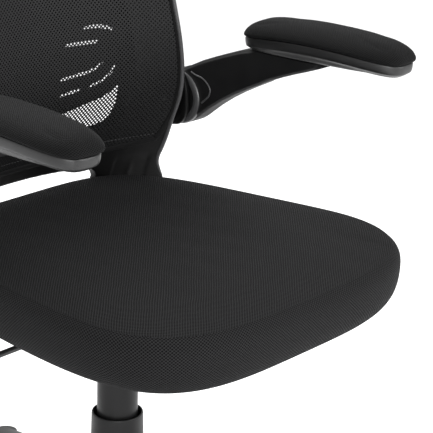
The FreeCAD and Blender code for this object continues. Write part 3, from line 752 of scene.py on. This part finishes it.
back_shell = remeshed("back_frame", "back_frame_shell", 2.2, 5, "frame")
co = coords_of(back_shell.data) / MM - (0.0, 0.0, RISE)
ax_, az_ = np.abs(co[:, 0]), co[:, 2]
near_front = np.clip(1.0 - np.abs(co[:, 1] - back_y(co[:, 0], az_, -7.0)) / 3.5, 0, 1)
band = np.clip((ax_ - 166) / 7, 0, 1) * np.clip((222 - ax_) / 7, 0, 1) * np.clip((496 - az_) / 16, 0, 1)
band = band * band * (3 - 2 * band)
rib = np.exp(-((ax_ - 194) / 4.0) ** 2) * np.clip((486 - az_) / 16, 0, 1)
co[:, 1] += near_front * (1.1 * band - 0.9 * rib)
back_shell.data.vertices.foreach_set("co", ((co + (0.0, 0.0, RISE)) * MM).astype(np.float32).ravel())
back_shell.data.update()
back_shell.data.materials.append(MAT["frame_matt"])
for f in back_shell.data.polygons:      # matt inner edge of the lower rail, behind the net: painted shade on its upward faces
    if f.normal.z > 0.25 and abs(f.center.x) < 0.170 and 0.525 < f.center.z - RISE * MM < 0.566:
        f.material_index = 1
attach(back_shell, "seat")
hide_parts("back_frame")
lumbar = remeshed("lumbar_panel", "lumbar_panel_shell", 1.6, 4, "panel")
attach(lumbar, "seat")
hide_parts("lumbar_panel")


def edge_bead():
    """Grey edge strip pressed on the rim of the frame. Where it runs on down the leg's outer edge (OUT_LEG), its light
    grey is a painted highlight standing in for light on the leg's bevelled edge.
    """
    line = chord_curve([(-x, z) for x, z in RIM[::-1][:-1]] + RIM, 620)
    t = np.gradient(line, axis=0)
    t /= np.linalg.norm(t, axis=1)[:, None]
    out = np.stack([-t[:, 1], t[:, 0]], 1)
    sec = []
    for k in range(14):
        w = 2 * math.pi * k / 14
        a, b = math.cos(w), math.sin(w)
        sec.append((0.2 + math.copysign(abs(a) ** 0.75, a) * 3.0, -4.2 + math.copysign(abs(b) ** 0.75, b) * 5.2))
    V, F = [], []
    n = len(line)
    slim = np.clip(np.minimum(np.arange(n), n - 1 - np.arange(n)) / 26.0, 0.12, 1.0) ** 0.6
    for d, off in sec:
        q = line + out * (0.2 + (d - 0.2) * slim)[:, None]
        V.append(np.stack([q[:, 0], back_y(line[:, 0], line[:, 1], -4.2 + (off + 4.2) * slim), q[:, 1]], 1))
    V = np.stack(V, 1).reshape(-1, 3)
    s = len(sec)
    for i in range(n - 1):
        for k in range(s):
            l = (k + 1) % s
            F.append((i * s + k, (i + 1) * s + k, (i + 1) * s + l, i * s + l))
    F.append(tuple(range(s)))
    F.append(tuple((n - 1) * s + k for k in range(s))[::-1])
    return make("edge_piping_and_painted_highlight_bead", V, F, "trim")


bead = edge_bead()
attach(bead, "seat")
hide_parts("edge_piping")

# ------------------------------------------------------------------------ arms
for side, sx in (("left", 1.0), ("right", -1.0)):
    body = "arm_" + side
    beam = remeshed("arm_beam_" + side, "arm_beam_shell_" + side, 1.7, 8, "arm")
    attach(beam, body)
    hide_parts("arm_beam_" + side)
    yaw = 0.060

    def pad_place(c, s, off, sx=sx):
        x, y = c * (42.3 - off), s * (124.0 - off)
        return sx * (285.5 + (x * math.cos(yaw) - y * math.sin(yaw))), -110.0 + x * math.sin(yaw) + y * math.cos(yaw)

    def bow(y):
        t = (y + 111.2) / 122.6
        return 684.2 + 1.8 * t - 8.5 * t * t

    flip = sx < 0
    plan = superplan(42.3, 122.6, 4.6, 3.8, (lambda c, s, off: pad_place(-c if flip else c, s, off)))
    tray_plan = superplan(42.3, 122.6, 4.4, 3.1, (lambda c, s, off: pad_place(-c if flip else c, s, off)))

    def pad_top(u, v, x, y):
        mv = np.clip(1.0 - (1.0 - np.abs(v)) * 113.6 / 33.3, 0, 1)
        edge = 1.0 - (1.0 - np.abs(u) ** 3) * (1.0 - mv ** 3)
        return bow(y) + 22.0 * (1 - 0.30 * edge) + 0.2 * wave(x * 2, y * 2, 11)

    rows = [(9.0, 0.0), (6.5, -1.9), (4.5, -3.6), (2.8, -5.6), (1.6, -7.6), (0.6, -9.6), (0.0, -11.5), (0.2, -13.3), (1.0, -14.6), (2.6, -15.2)]
    pad, tag, ring = soft_block("arm_pad_fabric_" + side, 46, plan, pad_top, rows, lambda zr, dz, x, y, k: bow(y) + 15.3 + dz,
                                lambda x, y: bow(y) + 0.2, "pad")
    pin = np.where(tag >= 6, 1.0, 0.0)
    pin[tag == -1] = 1.0
    pin[tag == 5] = 0.6
    puff(pad, pin, 2.4, 1.0)
    subdivide(pad)
    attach(pad, body)
    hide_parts("arm_pad_" + side)

    # tray: upright wall under the pad, then a bevel to the flat underside
    def tray_z(zr, dz, x, y, k):
        z = bow(y) - 0.3 + dz
        return np.where(dz < -13.6, np.minimum(z, 670.0 - (670.0 - 660.4) * np.clip((-dz - 13.6) / 5.2, 0, 1)), z)

    trows = [(4.6, 0.0), (2.8, -0.2), (1.8, -0.8), (1.4, -2.0), (1.5, -5.0), (1.9, -9.0), (2.6, -12.2), (3.4, -13.4), (5.4, -14.6), (7.6, -16.6),
             (10.0, -18.6), (12.4, -19.0), (16.0, -19.0)]
    tray, tag, ring = soft_block("arm_tray_shell_" + side, 48, tray_plan, lambda u, v, x, y: bow(y) - 0.3, trows, tray_z,
                                 lambda x, y: np.minimum(bow(y) - 19.3, 660.4), "tray")
    subdivide(tray)
    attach(tray, body)
    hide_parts("arm_tray_" + side)

    # rounded collar round the hub's inner end, in the lighter collar plastic: painted light on the hub
    prof = [(26.0, 253.2), (29.0, 251.6), (32.5, 251.0), (35.5, 251.3), (37.8, 252.4), (38.9, 254.2), (39.1, 256.4), (38.4, 258.4)]
    V, F = [], []
    nn = 72
    for rr, xx in prof:
        for k in range(nn):
            an = 2 * math.pi * k / nn
            V.append((sx * xx, 125.0 + rr * math.cos(an), 571.0 + rr * math.sin(an)))
    for q in range(len(prof) - 1):
        for k in range(nn):
            l = (k + 1) % nn
            f = (q * nn + k, q * nn + l, (q + 1) * nn + l, (q + 1) * nn + k)
            F.append(f if sx < 0 else f[::-1])
    ringp = make("arm_hub_collar_" + side, V, F, "collar")
    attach(ringp, body)

    # raised line on the inner face of the beam beside the hub, in the lighter collar plastic: a painted highlight line
    dline = chord_curve([(104, 610), (96.5, 607), (84, 604.5), (75, 599), (69, 591), (70.5, 582), (77, 575), (84, 569)], 60)
    ridge = tube_along("arm_hub_line_" + side, [(sx * 254.9, y, z) for y, z in dline], 1.25, "collar")
    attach(ridge, body)

# spring of the tilt mechanism: a coil between knob and block
lo, hi = [np.array(c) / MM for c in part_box("tension_spring")]
wire, turns = 1.9, 26.0 / 5.6
cx_, cy_ = (lo[0] + hi[0]) / 2, (lo[1] + hi[1]) / 2
coil = []
for i in range(int(turns * 30) + 1):
    an = 2 * math.pi * i / 30
    coil.append((cx_ + 15.5 * math.cos(an), cy_ + 15.5 * math.sin(an), lo[2] - RISE + wire + 5.6 * i / 30))
spring = tube_along("tension_spring_coil", coil, wire, "steel", sides=12)
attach(spring, "seat")
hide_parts("tension_spring")
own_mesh(spring)

# ------------------------------------------------------- carried-over solids
BY_NODE = {
    "lift_outer_tube": ("black_steel", 0.4), "lift_guide_bush": ("dark", 0.3), "lift_thrust_bearing": ("steel", 0.2),
    "lift_lower_cover": ("cover", 0.9), "lift_piston_rod": ("rod", 0.2), "lift_retaining_clip": ("steel", 0.2),
    "lift_cylinder": ("rod", 0.3), "lift_upper_cover": ("cover", 0.9), "lift_valve_pin": ("steel", 0.2),
    "tilt_block": ("black_steel", 1.2), "tilt_box": ("black_steel", 0.9), "tilt_pivot_pin": ("zinc", 0.5),
    "tilt_box_bolts": ("zinc", 0.4), "tension_bolt": ("zinc", 0.4),
    "tension_knob": ("dark", 1.0), "lever_sleeve": ("zinc", 0.4), "lever_rod": ("black_steel", 0.4), "lever_grip": ("dark", 1.6),
    "seat_board": ("ply", 0.6), "seat_dust_cover": ("lining", 0.3), "back_frame_bolts": ("zinc", 0.4),
    "star_base": ("base", 2.0),
}
for side in ("left", "right"):
    BY_NODE["arm_pad_screws_" + side] = ("zinc", 0.3)
    BY_NODE["arm_pivot_pin_" + side] = ("black_steel", 0.5)
    BY_NODE["arm_hub_cap_" + side] = ("dark", 0.8)
    BY_NODE["arm_washer_" + side] = ("steel", 0.2)
for k in range(1, 6):
    BY_NODE["caster_%d_hood" % k] = ("base", 1.0)
    BY_NODE["caster_%d_pins" % k] = ("steel", 0.4)
    BY_NODE["caster_%d_wheels" % k] = ("wheel", 0.6)
for n, (mat, width) in BY_NODE.items():
    o = NODES[n]
    o.data.materials.clear()
    o.data.materials.append(MAT[mat])
    if width:
        w = o.modifiers.new("weld", "WELD")
        w.merge_threshold = 0.00001
        b = o.modifiers.new("bevel", "BEVEL")
        b.width = width * MM
        b.segments = 3
        b.limit_method = "ANGLE"
        b.angle_limit = math.radians(35)
        b.harden_normals = False
        nmod = o.modifiers.new("normals", "WEIGHTED_NORMAL")
        nmod.keep_sharp = False
        o.data.polygons.foreach_set("use_smooth", [True] * len(o.data.polygons))

# ------------------------------------------------------------- floor and light
t = Tree("mat_floor")
c = t.coords()
n = t.noise(c, 3.0, 4.0)
t.link(t.ramp(n, [(0.3, (0.94, 0.94, 0.945)), (0.7, (0.96, 0.96, 0.965))]), "Base Color")
t.link(t.remap(n, 0.3, 0.7, 0.55, 0.62), "Roughness")
t.set(Specular_IOR_Level=0.2)
MAT["floor"] = t.mat
k = 24
ax = np.linspace(-18000, 18000, k + 1)
fx, fy = np.meshgrid(ax, ax, indexing="xy")
fv = np.stack([fx.ravel(), fy.ravel(), np.zeros((k + 1) ** 2)], 1)
ff = [(j * (k + 1) + i, j * (k + 1) + i + 1, (j + 1) * (k + 1) + i + 1, (j + 1) * (k + 1) + i) for j in range(k) for i in range(k)]
floor = make("floor", fv, ff, "floor", rise=0.0)

world = bpy.data.worlds.new("studio")
scene.world = world
world.use_nodes = True
bg = world.node_tree.nodes["Background"]
bg.inputs[0].default_value = (1.0, 1.0, 1.0, 1.0)
bg.inputs[1].default_value = 0.96


def softbox(name, place, target, size, power):
    d = bpy.data.lights.new(name, "AREA")
    d.shape = "RECTANGLE"
    d.size, d.size_y = size
    d.energy = power
    o = bpy.data.objects.new(name, d)
    o.location = place
    o.rotation_euler = (Vector(target) - Vector(place)).to_track_quat("-Z", "Y").to_euler()
    scene.collection.objects.link(o)


softbox("top_box", (0.5, -2.3, 2.5), (0.0, -0.35, 0.47), (1.3, 1.3), 45.0)
softbox("front_box", (1.2, -2.9, 1.3), (0.0, -0.1, 0.45), (2.0, 1.4), 45.0)
softbox("rear_box", (0.35, 1.3, 2.5), (0.0, -0.2, 0.5), (1.3, 1.3), 63.0)
softbox("side_box", (-2.4, -2.3, 1.1), (0.0, -0.1, 0.45), (1.8, 1.4), 75.0)
